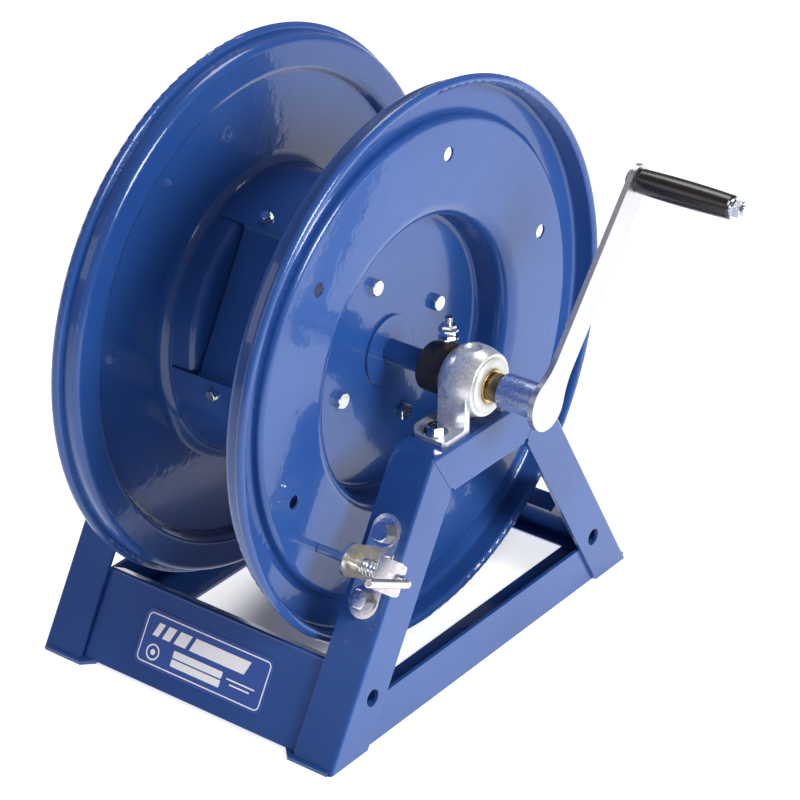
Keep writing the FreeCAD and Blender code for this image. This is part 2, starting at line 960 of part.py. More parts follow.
def reel_disc(name, side):
    """A stamped disc: rolled bead, rim wall, stepped web and a dish that carries the drum."""
    gauge = size("disc_gauge")
    bead = size("bead_radius")
    rim = size("rim_side")
    wall = size("disc_radius") - bead * 2
    bead_foot = root(bead * bead - (bead - gauge) * (bead - gauge))
    rim_floor = size("rim_floor")
    rim_corner = size("rim_corner")
    web = size("web_face")
    half_step = (web - rim_floor) / 2
    middle = rim_floor + half_step
    step_in = size("step_inner")
    step_out = step_in + half_step * 2
    roll = size("dish_roll")
    dish = size("dish_wall")
    corner = size("dish_corner")
    floor = size("dish_floor")
    body = turned(name, [
        (floor, shaft_bore),
        (floor, dish - corner, -corner),
        (floor + corner, dish),
        (web - roll, dish, roll),
        (web, dish + roll),
        (web, step_in, half_step),
        (middle, step_in + half_step, -half_step),
        (rim_floor, step_out),
        (rim_floor, wall - rim_corner, -rim_corner),
        (rim_floor + rim_corner, wall),
        (rim, wall, bead),
        (rim + bead, wall + bead, bead),
        (rim, wall + bead * 2, bead),
        (rim - bead_foot, wall + gauge),
        (rim_floor + rim_corner, wall + gauge, rim_corner + gauge),
        (rim_floor - gauge, wall - rim_corner),
        (rim_floor - gauge, step_out, half_step + gauge),
        (middle, step_in + half_step - gauge, gauge - half_step),
        (web - gauge, step_in),
        (web - gauge, dish + roll, gauge - roll),
        (web - roll, dish + gauge),
        (floor + corner, dish + gauge, corner + gauge),
        (dish_back, dish - corner),
        (dish_back, shaft_bore),
    ])
    drill(body, "YZ_Plane", around(size("disc_bolt_circle"), size("disc_bolt_angle"), 4, side),
          SMALL_BOLT[3] + 0.2)
    if side > 0:
        drill(body, "YZ_Plane", around(size("lock_circle"), size("lock_hole_angle"), 6, side),
              size("lock_hole_radius"))
    return on_axle(body, side)


def around(circle, angle, count, side=1):
    """Points round the axle, their angle measured from +Y up to +Z on the assembled reel."""
    spots = []
    for index in range(count):
        turn = angle + 360 * index / count
        spots.append((side * circle * cosine(turn), circle * sine(turn)))
    return spots


def drum_shell():
    """A rolled sheet round the two dishes, open where the recessed plate is."""
    outer = size("drum_radius")
    inner = outer - size("drum_gauge")
    start = size("opening_start")
    end = size("opening_end")
    back = (start + end) / 2 + 180

    def at(radius, angle):
        return (radius * cosine(angle), radius * sine(angle))

    stops = [end, (end + back) / 2, back, (back + start + 360) / 2, start + 360]
    outline = [at(outer, stop) + (outer,) for stop in stops[:-1]]
    outline.append(at(outer, stops[-1]))
    outline += [at(inner, stop) + (-inner,) for stop in reversed(stops[1:])]
    outline.append(at(inner, stops[0]))
    reach = size("drum_reach")
    body = prism("drum_shell", "YZ_Plane", outline, -reach, reach * 2)
    return on_axle(body)


def recess_plate():
    """A flat plate across the drum's opening, with a tab under the shell at each end."""
    depth = size("recess_depth")
    half = size("recess_half_chord")
    gauge = size("recess_gauge")
    outer = size("drum_radius") - size("drum_gauge") - 0.1
    inner = outer - gauge
    fold = 90 - size("tab_fold")
    turn = 90 - size("tab_turn")
    outline = [
        (half, depth),
        (outer * cosine(fold), outer * sine(fold), -outer),
        (outer * cosine(turn), outer * sine(turn)),
        (inner * cosine(turn), inner * sine(turn), inner),
        (inner * cosine(fold - 0.8), inner * sine(fold - 0.8)),
        (half - 0.5, depth - gauge),
    ]
    other = [
        (0.5 - half, depth - gauge),
        (-inner * cosine(fold - 0.8), inner * sine(fold - 0.8), inner),
        (-inner * cosine(turn), inner * sine(turn)),
        (-outer * cosine(turn), outer * sine(turn), -outer),
        (-outer * cosine(fold), outer * sine(fold)),
        (-half, depth),
    ]
    reach = size("recess_reach")
    body = prism("drum_recess_plate", "YZ_Plane", outline + other, -reach, reach * 2)
    turned_to = (SIZES["opening_start"] + SIZES["opening_end"]) / 2 - 90
    return put(body, (0, 0, size("axle_height")), Rotation(Vector(1, 0, 0), turned_to))


def drum_fasteners():
    screws = []
    holes = []
    outer = size("drum_radius")
    for angle in (114.0, 187.0):
        turn = Rotation(Vector(1, 0, 0), angle - 90)
        for side in (1, -1):
            y = outer * cosine(angle)
            z = size("axle_height") + outer * sine(angle)
            spot = (side * size("drum_screw_side"), y, z)
            flats, head, _, radius, flange, gauge = SCREW
            holes.append(cylinder(radius + 0.1, 30.0, shifted(spot, turn, as_size(-20.0)), turn))
            screws.append(fused([
                cylinder(flange, gauge, spot, turn),
                crowned(flats, head, shifted(spot, turn, as_size(gauge)), turn),
                cylinder(radius, 8.0, shifted(spot, turn, as_size(-8.0)), turn),
            ]))
    group("drum_screws", screws)
    for name in ("drum_shell", "drum_recess_plate"):
        open_with(name, holes)


reel_disc("right_disc", 1)
reel_disc("left_disc", -1)
drum_shell()
recess_plate()
drum_fasteners()

disc_bolts = []
disc_nuts = []
for side_name, side in SIDES:
    floor = size("dish_floor")
    on_axle(ring(f"{side_name}_hub_plate", floor, floor + size("hub_plate_gauge"),
                 shaft_bore, size("hub_plate_radius")), side)
    flange = ring(f"{side_name}_axle_flange", dish_back - size("flange_gauge"), dish_back,
                  shaft_bore, size("flange_radius"))
    spots = around(size("disc_bolt_circle"), size("disc_bolt_angle"), 4, side)
    drill(flange, "YZ_Plane", spots, SMALL_BOLT[3] + 0.2)
    on_axle(flange, side)
    outward = ALONG_X if side > 0 else AGAINST_X
    inward = AGAINST_X if side > 0 else ALONG_X
    for y, z in spots:
        height = size("axle_height") + z
        nut_side = dish_back - size("flange_gauge")
        disc_bolts.append(bolt(SMALL_BOLT, (side * floor, side * y, height), outward, 16.0))
        disc_nuts.append(nut(SMALL_BOLT, (side * nut_side, side * y, height), inward))
group("disc_bolts", disc_bolts)
group("disc_nuts", disc_nuts)

axle_tip = 1.2
axle_radius = size("axle_radius")
on_axle(turned("axle", [
    (-size("axle_left_end"), 0),
    (size("axle_right_end"), 0),
    (size("axle_right_end"), axle_radius - axle_tip),
    (size("axle_right_end") - axle_tip, axle_radius),
    (axle_tip - size("axle_left_end"), axle_radius),
    (-size("axle_left_end"), axle_radius - axle_tip),
]))

# The terminal for the inner end of the lead stands on the recessed plate.
recess_turn = Rotation(Vector(1, 0, 0), (SIZES["opening_start"] + SIZES["opening_end"]) / 2 - 90)
recess_angle = (size("opening_start") + size("opening_end")) / 2
terminal_spot = (
    size("recess_reach") - 14,
    size("recess_depth") * cosine(recess_angle),
    size("axle_height") + size("recess_depth") * sine(recess_angle),
)
terminal = fused([
    cylinder(9.0, 3.0, terminal_spot, recess_turn),
    cylinder(SMALL_BOLT[3], 18.0, terminal_spot, recess_turn),
    crowned(SMALL_BOLT[0], 9.7, terminal_spot, recess_turn),
])
keep(terminal, "drum_terminal")

# ---------------------------------------------------------------- crank

on_axle(turned("crank_spacer", [
    (race_end + 2.8, shaft_bore),
    (size("spacer_end"), shaft_bore),
    (size("spacer_end"), size("spacer_radius")),
    (race_end + 5.0, size("spacer_radius")),
    (race_end + 5.0, size("spacer_radius") - 1.2),
    (race_end + 2.8, size("spacer_radius") - 1.2),
]))
set_collar = ring("left_set_collar", race_end + 2.8, race_end + 12.3, shaft_bore, 14.5)
on_axle(set_collar, -1)

hub_tube = ring("crank_hub", size("spacer_end"), size("hub_tube_end"), shaft_bore,
                size("hub_tube_radius"))
screw_side = size("spacer_end") + 10
screw_turn = Rotation(Vector(1, 0, 0), 180)
doc.recompute()
sketch = new_sketch(hub_tube, "XY_Plane", -size("hub_tube_radius") - 1)
round_holes(sketch, [(screw_side, 0)], 3.2)
screw_hole = hub_tube.newObject("PartDesign::Pocket", "crank_hub_screw_hole")
screw_hole.Profile = sketch
screw_hole.Reversed = True
screw_hole.Length = 8
on_axle(hub_tube)
screw_spot = (screw_side, 0, size("axle_height") - shaft_bore)
keep(cylinder(3.18, 4.4, screw_spot, screw_turn), "crank_set_screw")

arm_turn = Rotation(Vector(1, 0, 0), SIZES["arm_angle"])
arm_end = (
    size("arm_length") * cosine(size("arm_angle")),
    size("axle_height") + size("arm_length") * sine(size("arm_angle")),
)


def crank_arm():
    """A flat arm with a round pad at the axle, blended into its straight sides."""
    pad_radius = size("arm_pad_radius")
    half = size("arm_half_width")
    blend = size("arm_fillet")
    length = size("arm_length")
    far = pad_radius + blend
    centre = root(far * far - (half + blend) * (half + blend))
    touch_along = centre * pad_radius / far
    touch_aside = (half + blend) * pad_radius / far
    outline = [
        (-pad_radius, 0, pad_radius),
        (touch_along, -touch_aside, -blend),
        (centre, -half),
        (length, -half, half),
        (length + half, 0, half),
        (length, half),
        (centre, half, -blend),
        (touch_along, touch_aside, pad_radius),
    ]
    start = size("hub_tube_end")
    body = prism("crank_arm", "YZ_Plane", outline, start, size("arm_gauge"))
    drill(body, "YZ_Plane", [(length, 0)], SMALL_BOLT[3] + 0.1)
    return put(body, (0, 0, size("axle_height")), arm_turn)


def grip():
    """A moulded grip with a long crown and a bore that turns on its bolt."""
    bore = SMALL_BOLT[3] + size("run_gap")
    start = size("grip_start")
    end = size("grip_end")
    edge = size("grip_end_radius")
    body = turned("grip", [
        (start, bore),
        (end, bore),
        (end, edge - 1.2),
        (end - 1.2, edge, size("grip_bulge")),
        (start + 1.2, edge + 0.4),
        (start, edge - 0.8),
    ])
    return put(body, (0,) + arm_end)


crank_arm()
grip()
arm_back = size("hub_tube_end")
arm_front = arm_back + size("arm_gauge")
grip_bolt_reach = size("grip_end") + 10.5 - arm_back
keep(bolt(SMALL_BOLT, (arm_back,) + arm_end, AGAINST_X, grip_bolt_reach), "grip_bolt")
grip_washer_kind = SMALL_BOLT[:4] + (8.2, 1.5)
thin_washer_kind = SMALL_BOLT[:4] + (7.6, 0.6)
group("grip_washers", [
    washer(thin_washer_kind, (arm_front + 0.04,) + arm_end, ALONG_X),
    washer(grip_washer_kind, (size("grip_end") + 0.3,) + arm_end, ALONG_X),
])
keep(nut(SMALL_BOLT, (size("grip_end") + 1.85,) + arm_end, ALONG_X), "grip_nut")

# ---------------------------------------------------------------- current collector

on_axle(ring("slip_ring", size("ring_inner_end"), size("ring_outer_end"), shaft_bore,
             size("ring_radius")))
contact_bore = size("ring_radius") + size("run_gap")
contact_start = size("collector_inner_end") + 2.4
contact_end = size("collector_outer_end") - 1.6
stud_hole = TERMINAL[3] + 0.02


def collector_body():
    """A rubbery moulded ring with a stepped boss for the lead's stud."""
    start = size("collector_inner_end")
    end = size("collector_outer_end")
    outer = size("collector_radius")
    round_over = 2.5
    body = turned("collector_body", [
        (start, contact_bore + 0.6),
        (contact_start, contact_bore + 0.6),
        (contact_start, size("contact_radius") + 0.01),
        (contact_end, size("contact_radius") + 0.01),
        (contact_end, contact_bore + 0.6),
        (end, contact_bore + 0.6),
        (end, outer - round_over, round_over),
        (end - round_over, outer),
        (start + round_over, outer, round_over),
        (start, outer - round_over),
    ])
    boss = size("boss_radius")
    base = size("contact_radius") + 1.2
    steps = [(boss + 0.8, 20.5), (boss + 0.4, 25.0), (boss, size("boss_height"))]
    for radius, top in steps:
        sketch = new_sketch(body, "XY_Plane", base)
        round_holes(sketch, [(size("boss_side"), 0)], radius)
        pad(body, sketch, top - base)
    middle = outer - 2.1
    cheeks = mirrored([
        (outer * 0.455, outer * 0.773),
        (outer * 0.620, outer * 0.640),
        (outer * 0.737, outer * 0.675),
        (boss + 0.7, 21.5),
    ]) + [(0, middle)]
    sketch = new_sketch(body, "YZ_Plane", size("boss_side") - boss + 0.4)
    trace(sketch, cheeks)
    pad(body, sketch, end - size("boss_side") + boss - 1.8)
    clear = size("housing_inner_face") - 0.4
    sketch = new_sketch(body, "XZ_Plane")
    trace(sketch, [(clear, base), (clear + 20, base), (clear + 20, 25.0), (clear, 25.0)])
    pocket(body, sketch)
    doc.recompute()
    sketch = new_sketch(body, "XY_Plane", size("ring_radius"))
    round_holes(sketch, [(size("boss_side"), 0)], stud_hole)
    hole = body.newObject("PartDesign::Pocket", "collector_stud_hole")
    hole.Profile = sketch
    hole.Reversed = True
    bind(hole, "Length", size("boss_height"))
    return on_axle(body)


collector_body()
contact = ring("contact_ring", contact_start, contact_end, contact_bore, size("contact_radius"))
doc.recompute()
sketch = new_sketch(contact, "XY_Plane", 2.0)
round_holes(sketch, [(size("boss_side"), 0)], stud_hole)
contact_hole = contact.newObject("PartDesign::Pocket", "contact_stud_hole")
contact_hole.Profile = sketch
contact_hole.Reversed = True
contact_hole.Length = 20
on_axle(contact)
stud_foot = contact_bore + 0.3
stud_base = size("axle_height") + stud_foot
boss_top = size("axle_height") + size("boss_height")
stud_spot = (size("boss_side"), 0, stud_base)
second_washer = boss_top + TERMINAL[5] + TERMINAL[2]
jam_nut = second_washer + TERMINAL[5]
stud_free_start = jam_nut + JAM_NUT[2]
stud_neck = 0.3
stud_core = TERMINAL[3] - 0.3
stud_free = size("axle_height") + size("stud_height") - stud_free_start - stud_neck
keep(fused([
    cylinder(stud_core, stud_free_start - stud_base, stud_spot),
    cylinder(stud_core - 0.1, stud_neck, (size("boss_side"), 0, stud_free_start)),
    cylinder(TERMINAL[3], stud_free, (size("boss_side"), 0, stud_free_start + stud_neck)),
]), "collector_stud")
group("collector_washers", [
    washer(TERMINAL, (size("boss_side"), 0, height), UPRIGHT, 0.1)
    for height in (boss_top, second_washer)
])
group("collector_nuts", [
    nut(TERMINAL, (size("boss_side"), 0, boss_top + TERMINAL[5]), UPRIGHT),
    nut(JAM_NUT, (size("boss_side"), 0, jam_nut), Rotation(Vector(0, 0, 1), 20)),
])

# ---------------------------------------------------------------- lock

lock_turn = Rotation(Vector(1, 0, 0), 90 - lean_angle)
lock_spot = (size("lock_side"), -leg_face(size("lock_height")), size("lock_height"))
pin_up = -size("pin_drop")
pin_out = size("pin_lift")
handle_turn = Rotation(Vector(1, 0, 0), 90 - lean_angle + 3.5)
pin_spot = (
    0,
    lock_spot[1] + leg_along * pin_up - leg_up * pin_out,
    lock_spot[2] + leg_up * pin_up + leg_along * pin_out,
)


def on_leg(thing):
    """Puts a piece on the leg's face: its X along the axle, its Y up the leg, its Z outward."""
    return put(thing, lock_spot, lock_turn)


def lock_base_plate():
    """An obround plate that spreads the lock's two bolts."""
    wide = size("lock_plate_half_width")
    long = size("lock_plate_half_length")
    body = prism("lock_base_plate", "XY_Plane", [
        (wide, long, wide),
        (0, long + wide, wide),
        (-wide, long),
        (-wide, -long, wide),
        (0, -long - wide, wide),
        (wide, -long),
    ], 0, size("lock_plate_gauge"))
    reach = size("lock_bolt_reach")
    drill(body, "XY_Plane", [(0, reach), (0, -reach)], LARGE_BOLT[3] + 0.25)
    return on_leg(body)


def tip_corners(body, tip, reach):
    """The edges through the guard's gauge at its tip, at a distance from the pin's line."""
    found = []
    for index, edge in enumerate(body.Shape.Edges, start=1):
        ends = [vertex.Point for vertex in edge.Vertexes]
        if len(ends) != 2 or any(abs(end.x - tip.value) > 0.01 for end in ends):
            continue
        if all(abs(abs(end.y - pin_up.value) - reach.value) < 0.01 for end in ends):
            if abs(ends[0].y - ends[1].y) < 0.01:
                found.append(f"Edge{index}")
    return found


def lock_bracket():
    """A folded bracket with two ears for the pin and a fork that parks its handle."""
    body = new_body("lock_bracket")
    gauge = size("bracket_gauge")
    base = size("lock_plate_gauge")
    half = size("bracket_half_width")
    inner = size("ear_inner") - size("lock_side")
    outer = size("ear_outer") - size("lock_side")
    sketch = new_sketch(body, "XY_Plane", base)
    trace(sketch, [(inner, -half), (outer + gauge, -half), (outer + gauge, half), (inner, half)])
    pad(body, sketch, gauge)
    sketch = new_sketch(body, "YZ_Plane", inner)
    shoulder = size("ear_height") - half
    trace(sketch, [
        (-half, base),
        (half, base),
        (half, shoulder, half),
        (0, size("ear_height"), half),
        (-half, shoulder),
    ])
    pad(body, sketch, gauge)
    top = size("guard_height")
    tip = size("finger_tip") - size("lock_side")
    sketch = new_sketch(body, "XZ_Plane", -(pin_up + half))
    trace(sketch, [
        (outer, base),
        (outer + gauge, base),
        (outer + gauge, top - gauge),
        (tip, top - gauge),
        (tip, top),
        (outer + gauge, top, gauge),
        (outer, top - gauge),
    ])
    pad(body, sketch, half * 2)
    slot = size("slot_half_width")
    notch = tip - size("slot_depth")
    sketch = new_sketch(body, "XY_Plane", top - gauge * 2)
    trace(sketch, [
        (notch + slot, pin_up - slot),
        (tip + 1, pin_up - slot),
        (tip + 1, pin_up + slot),
        (notch + slot, pin_up + slot, slot),
        (notch, pin_up, slot),
    ])
    cutter = body.newObject("PartDesign::Pocket", "lock_bracket_notch")
    cutter.Profile = sketch
    cutter.Reversed = True
    cutter.Length = 12
    doc.recompute()
    round_edges(body, tip_corners(body, tip, half), 3.4)
    round_edges(body, tip_corners(body, tip, slot), 1.4)
    drill(body, "YZ_Plane", [(pin_up, pin_out)], size("pin_radius") + size("run_gap"))
    return on_leg(body)


def lock_pin():
    """A round bar bent square, its straight leg the lock's bolt and its bent leg the handle."""
    body = new_body("lock_pin")
    bend = size("pin_bend")
    handle = size("pin_handle_side")
    sketch = new_sketch(body, "YZ_Plane", size("pin_tip"))
    round_holes(sketch, [(0, 0)], size("pin_radius"))
    path = new_sketch(body, "XZ_Plane")
    trace(path, [
        (size("pin_tip"), 0),
        (handle - bend, 0, bend),
        (handle, bend),
        (handle, size("pin_handle_length")),
    ], False)
    pipe = body.newObject("PartDesign::AdditivePipe", "lock_pin_pipe")
    pipe.Profile = sketch
    pipe.Spine = (path, ["Edge1", "Edge2", "Edge3"])
    doc.recompute()
    rims = []
    for index, edge in enumerate(body.Shape.Edges, start=1):
        centre = edge.BoundBox.Center
        at_tip = abs(centre.x - SIZES["pin_tip"]) < 0.01
        at_end = abs(centre.z - SIZES["pin_handle_length"]) < 0.01
        if at_tip or at_end:
            rims.append(f"Edge{index}")
    round_edges(body, rims, 1.0)
    cross = size("washer_side") - 1.0 - 1.2
    drill(body, "XY_Plane", [(cross, 0)], 1.22)
    return put(body, pin_spot, handle_turn)


def lock_spring():
    """A round-wire compression spring between the washer and the outer ear."""
    body = new_body("lock_spring")
    wire = size("spring_wire")
    start = size("washer_side") + 1.0 + wire
    length = size("ear_outer") - start - wire
    sketch = new_sketch(body, "XY_Plane")
    round_holes(sketch, [(start, size("spring_radius"))], wire)
    coil = body.newObject("PartDesign::AdditiveHelix", "lock_spring_coil")
    coil.Profile = sketch
    coil.ReferenceAxis = (sketch, ["H_Axis"])
    coil.Mode = "height-turns-angle"
    bind(coil, "Height", length)
    bind(coil, "Turns", size("spring_turns"))
    coil.Angle = 0
    return put(body, pin_spot, handle_turn)


lock_base_plate()
lock_bracket()
lock_pin()
lock_spring()
washer_start = size("washer_side") - 1.0
lock_washer = ring("lock_washer", washer_start, washer_start + 2,
                   size("pin_radius") + size("run_gap"), 6.8)
put(lock_washer, pin_spot, handle_turn)
cross_half = 6.2
cross_spot = (
    size("washer_side") - 2.2,
    pin_spot[1] + math.sin(math.radians(93.5 - lean_angle)) * cross_half,
    pin_spot[2] - math.cos(math.radians(93.5 - lean_angle)) * cross_half,
)
keep(cylinder(1.2, cross_half * 2, cross_spot, handle_turn), "lock_cross_pin")

leg_holes = []
bolts = []
washers = []
nuts = []
INWARD = lock_turn.multiply(Rotation(Vector(1, 0, 0), 180))
for way in (1, -1):
    reach = size("lock_bolt_reach") * way
    x = size("lock_side")
    face = (x, lock_spot[1] + leg_along * reach, lock_spot[2] + leg_up * reach)
    top = shifted(face, lock_turn, size("lock_plate_gauge"))
    washers.append(washer(LARGE_BOLT, top, lock_turn))
    head = shifted(top, lock_turn, as_size(LARGE_BOLT[5]))
    bolts.append(bolt(LARGE_BOLT, head, lock_turn, 21.0))
    back = shifted(face, lock_turn, -size("angle_gauge"))
    nuts.append(nut(LARGE_BOLT, back, INWARD))
    leg_holes.append(cylinder(LARGE_BOLT[3] + 0.25, 20.0, shifted(back, INWARD, as_size(-10.0)),
                              INWARD))
group("lock_bolts", bolts)
group("lock_washers", washers)
group("lock_nuts", nuts)
open_with("right_side_frame", leg_holes)

# ---------------------------------------------------------------- checks and files

doc.recompute()
for thing in doc.Objects:
    if "Invalid" in thing.State or "Error" in thing.State:
        raise RuntimeError(f"{thing.Name} failed: {thing.State}")
os.makedirs("parts", exist_ok=True)
for name, thing in parts:
    if thing.Shape.isNull() or not thing.Shape.isValid():
        raise RuntimeError(f"{name} has no valid shape")
    thing.Shape.exportStep(f"parts/{name}.step")
    print(f"{name}: {thing.Shape.Volume:.0f} mm3, {len(thing.Shape.Solids)} solids")
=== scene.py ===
"""Looks of a hand-crank reel for a welding lead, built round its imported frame.

Metres, Z up. The crank is on the +X side and the label on the -Y side.
"""

import json
import math

import bmesh
import bpy
from mathutils import Matrix, Vector

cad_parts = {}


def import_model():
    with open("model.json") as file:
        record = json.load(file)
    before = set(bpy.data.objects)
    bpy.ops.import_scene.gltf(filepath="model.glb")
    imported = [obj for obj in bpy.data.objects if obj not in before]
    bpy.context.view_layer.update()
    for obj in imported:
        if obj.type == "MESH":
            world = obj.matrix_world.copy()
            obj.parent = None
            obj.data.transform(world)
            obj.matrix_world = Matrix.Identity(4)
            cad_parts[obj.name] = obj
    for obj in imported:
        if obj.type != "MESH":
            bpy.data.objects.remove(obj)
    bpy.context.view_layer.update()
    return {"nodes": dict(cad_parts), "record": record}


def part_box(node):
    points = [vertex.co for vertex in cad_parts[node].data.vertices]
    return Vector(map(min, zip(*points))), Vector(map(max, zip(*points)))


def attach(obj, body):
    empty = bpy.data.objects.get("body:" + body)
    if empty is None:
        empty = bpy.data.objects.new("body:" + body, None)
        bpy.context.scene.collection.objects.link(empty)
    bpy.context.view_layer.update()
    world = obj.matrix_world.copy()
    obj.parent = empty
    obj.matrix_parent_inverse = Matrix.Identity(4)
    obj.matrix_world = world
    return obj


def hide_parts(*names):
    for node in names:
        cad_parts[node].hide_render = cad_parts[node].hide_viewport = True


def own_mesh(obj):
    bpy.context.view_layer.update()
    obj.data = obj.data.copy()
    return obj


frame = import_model()
nodes = frame["nodes"]
record = frame["record"]

MM = 0.001
INCH = 0.0254

# ---------------------------------------------------------------- materials


class Nodes:
    """A material's node tree, with short calls for what its recipes need."""

    def __init__(self, name):
        self.material = bpy.data.materials.new(name)
        self.material.use_nodes = True
        self.tree = self.material.node_tree
        self.shader = self.tree.nodes["Principled BSDF"]
        coordinates = self.tree.nodes.new("ShaderNodeTexCoord")
        self.place = coordinates.outputs["Object"]

    def set(self, **values):
        for name, value in values.items():
            self.shader.inputs[name.replace("_", " ")].default_value = value

    def link(self, output, name):
        self.tree.links.new(output, self.shader.inputs[name])

    def noise(self, scale, detail=2.0, roughness=0.5, stretch=None):
        """A noise value. A stretch gives each axis a scale of its own."""
        node = self.tree.nodes.new("ShaderNodeTexNoise")
        node.inputs["Scale"].default_value = scale
        node.inputs["Detail"].default_value = detail
        node.inputs["Roughness"].default_value = roughness
        place = self.place
        if stretch:
            mapping = self.tree.nodes.new("ShaderNodeMapping")
            mapping.inputs["Scale"].default_value = stretch
            self.tree.links.new(place, mapping.inputs["Vector"])
            place = mapping.outputs["Vector"]
        self.tree.links.new(place, node.inputs["Vector"])
        return node.outputs["Fac"]

    def ramp(self, value, *stops):
        """A colour ramp: each stop is a position and a grey or an RGB colour."""
        node = self.tree.nodes.new("ShaderNodeValToRGB")
        elements = node.color_ramp.elements
        while len(elements) < len(stops):
            elements.new(0.5)
        for element, (position, colour) in zip(elements, stops):
            element.position = position
            shade = (colour,) * 3 if isinstance(colour, float) else colour
            element.color = (*shade, 1)
        self.tree.links.new(value, node.inputs["Fac"])
        return node.outputs["Color"]

    def bands(self, pitch):
        """Ridges stacked up Z with one pitch in metres, for threads."""
        node = self.tree.nodes.new("ShaderNodeTexWave")
        node.bands_direction = "Z"
        node.inputs["Scale"].default_value = math.pi / 10 / pitch
        self.tree.links.new(self.place, node.inputs["Vector"])
        return node.outputs["Fac"]

    def soft_edges(self, radius):
        """Normals that round sharp edges off, to catch the light as a coated or plated edge does."""
        node = self.tree.nodes.new("ShaderNodeBevel")
        node.samples = 4
        node.inputs["Radius"].default_value = radius
        return node.outputs["Normal"]

    def bump(self, *layers, normal=None):
        """Stacks bumps, each a height, its strength and its depth in metres, and returns the normal."""
        for height, strength, depth in layers:
            node = self.tree.nodes.new("ShaderNodeBump")
            node.inputs["Strength"].default_value = strength
            node.inputs["Distance"].default_value = depth
            self.tree.links.new(height, node.inputs["Height"])
            if normal:
                self.tree.links.new(normal, node.inputs["Normal"])
            normal = node.outputs["Normal"]
        self.tree.links.new(normal, self.shader.inputs["Normal"])
        return normal


def powder_coat():
    """Glossy royal-blue powder coat with the ripple of its orange peel."""
    n = Nodes("blue_powder_coat")
    dark = (0.016, 0.060, 0.235)
    light = (0.022, 0.078, 0.286)
    n.link(n.ramp(n.noise(7.0, 3.0), (0.35, dark), (0.65, light)), "Base Color")
    n.link(n.ramp(n.noise(900.0, 2.0), (0.3, 0.20), (0.7, 0.28)), "Roughness")
    n.set(IOR=1.45, Specular_IOR_Level=0.25, Coat_Weight=0.62, Coat_Roughness=0.02, Coat_IOR=1.5)
    edges = n.soft_edges(0.0009)
    slow_ripple = (n.noise(55.0, 1.0), 0.16, 0.0010)
    fine_ripple = (n.noise(170.0, 2.0), 0.24, 0.00040)
    n.link(n.bump(slow_ripple, fine_ripple, normal=edges), "Coat Normal")
    return n.material


def shaded(colour, share):
    """A colour dimmed to a share of itself."""
    return tuple(part * share for part in colour)


def zinc(name, colour, low, high, pitch=None):
    """Bright zinc plate: slight clouding in colour and gloss, and threads where a pitch is given."""
    n = Nodes(name)
    n.link(n.ramp(n.noise(70.0, 4.0), (0.3, shaded(colour, 0.93)), (0.65, colour)), "Base Color")
    n.link(n.ramp(n.noise(240.0, 3.0), (0.3, low), (0.7, high)), "Roughness")
    n.set(Metallic=1.0)
    layers = [(n.noise(384.0, 2.0), 0.12, 0.0001)]
    if pitch:
        layers.append((n.bands(pitch), 0.9, 0.0004))
    n.bump(*layers)
    return n.material


def cast_zinc():
    """Plated casting: fine mottling, small pits and soft waves under a satin sheen."""
    n = Nodes("plated_casting")
    dark = (0.56, 0.56, 0.58)
    middle = (0.74, 0.74, 0.76)
    light = (0.94, 0.94, 0.95)
    mottling = n.noise(420.0, 5.0, 0.6)
    n.link(n.ramp(mottling, (0.28, dark), (0.5, middle), (0.74, light)), "Base Color")
    n.link(n.ramp(n.noise(310.0, 4.0), (0.3, 0.27), (0.7, 0.40)), "Roughness")
    n.set(Metallic=0.66)
    pits = (n.noise(650.0, 4.0, 0.6), 0.40, 0.00016)
    waves = (n.noise(90.0, 2.0), 0.25, 0.0005)
    n.bump(pits, waves, normal=n.soft_edges(0.0007))
    return n.material


def brushed(name, colour, stretch, low, high, edge=0.0004):
    """Metal with fine parallel brush lines, softened at its edges where an edge radius is given."""
    n = Nodes(name)
    lines = n.noise(1.0, 3.0, 0.6, stretch)
    n.link(n.ramp(lines, (0.35, low), (0.65, high)), "Roughness")
    n.link(n.ramp(n.noise(25.0, 3.0), (0.3, shaded(colour, 0.92)), (0.7, colour)), "Base Color")
    n.set(Metallic=1.0)
    n.bump((lines, 0.06, 0.00006), normal=n.soft_edges(edge) if edge else None)
    return n.material


def speckled_tube():
    """Plated tube with fine pickling marks, so that its reflections break into small speckles."""
    n = Nodes("speckled_zinc_tube")
    dark = (0.54, 0.58, 0.68)
    light = (0.80, 0.82, 0.88)
    specks = n.noise(760.0, 4.0, 0.7)
    n.link(n.ramp(specks, (0.36, dark), (0.62, light)), "Base Color")
    n.link(n.ramp(n.noise(600.0, 4.0, 0.7), (0.32, 0.16), (0.68, 0.34)), "Roughness")
    n.set(Metallic=1.0)
    drawn_lines = n.noise(1.0, 3.0, 0.6, (30.0, 500.0, 500.0))
    n.bump((specks, 0.22, 0.00010), (drawn_lines, 0.15, 0.0001))
    return n.material


def cover():
    """Satin plated steel of the bearing's cover ring, nearly matt and slightly warm."""
    n = Nodes("satin_cover")
    dark = (0.60, 0.59, 0.56)
    light = (0.72, 0.71, 0.68)
    n.link(n.ramp(n.noise(60.0, 4.0), (0.3, dark), (0.7, light)), "Base Color")
    n.link(n.ramp(n.noise(420.0, 3.0), (0.3, 0.38), (0.7, 0.50)), "Roughness")
    n.set(Metallic=0.55)
    n.bump((n.noise(500.0, 3.0), 0.2, 0.0001))
    return n.material


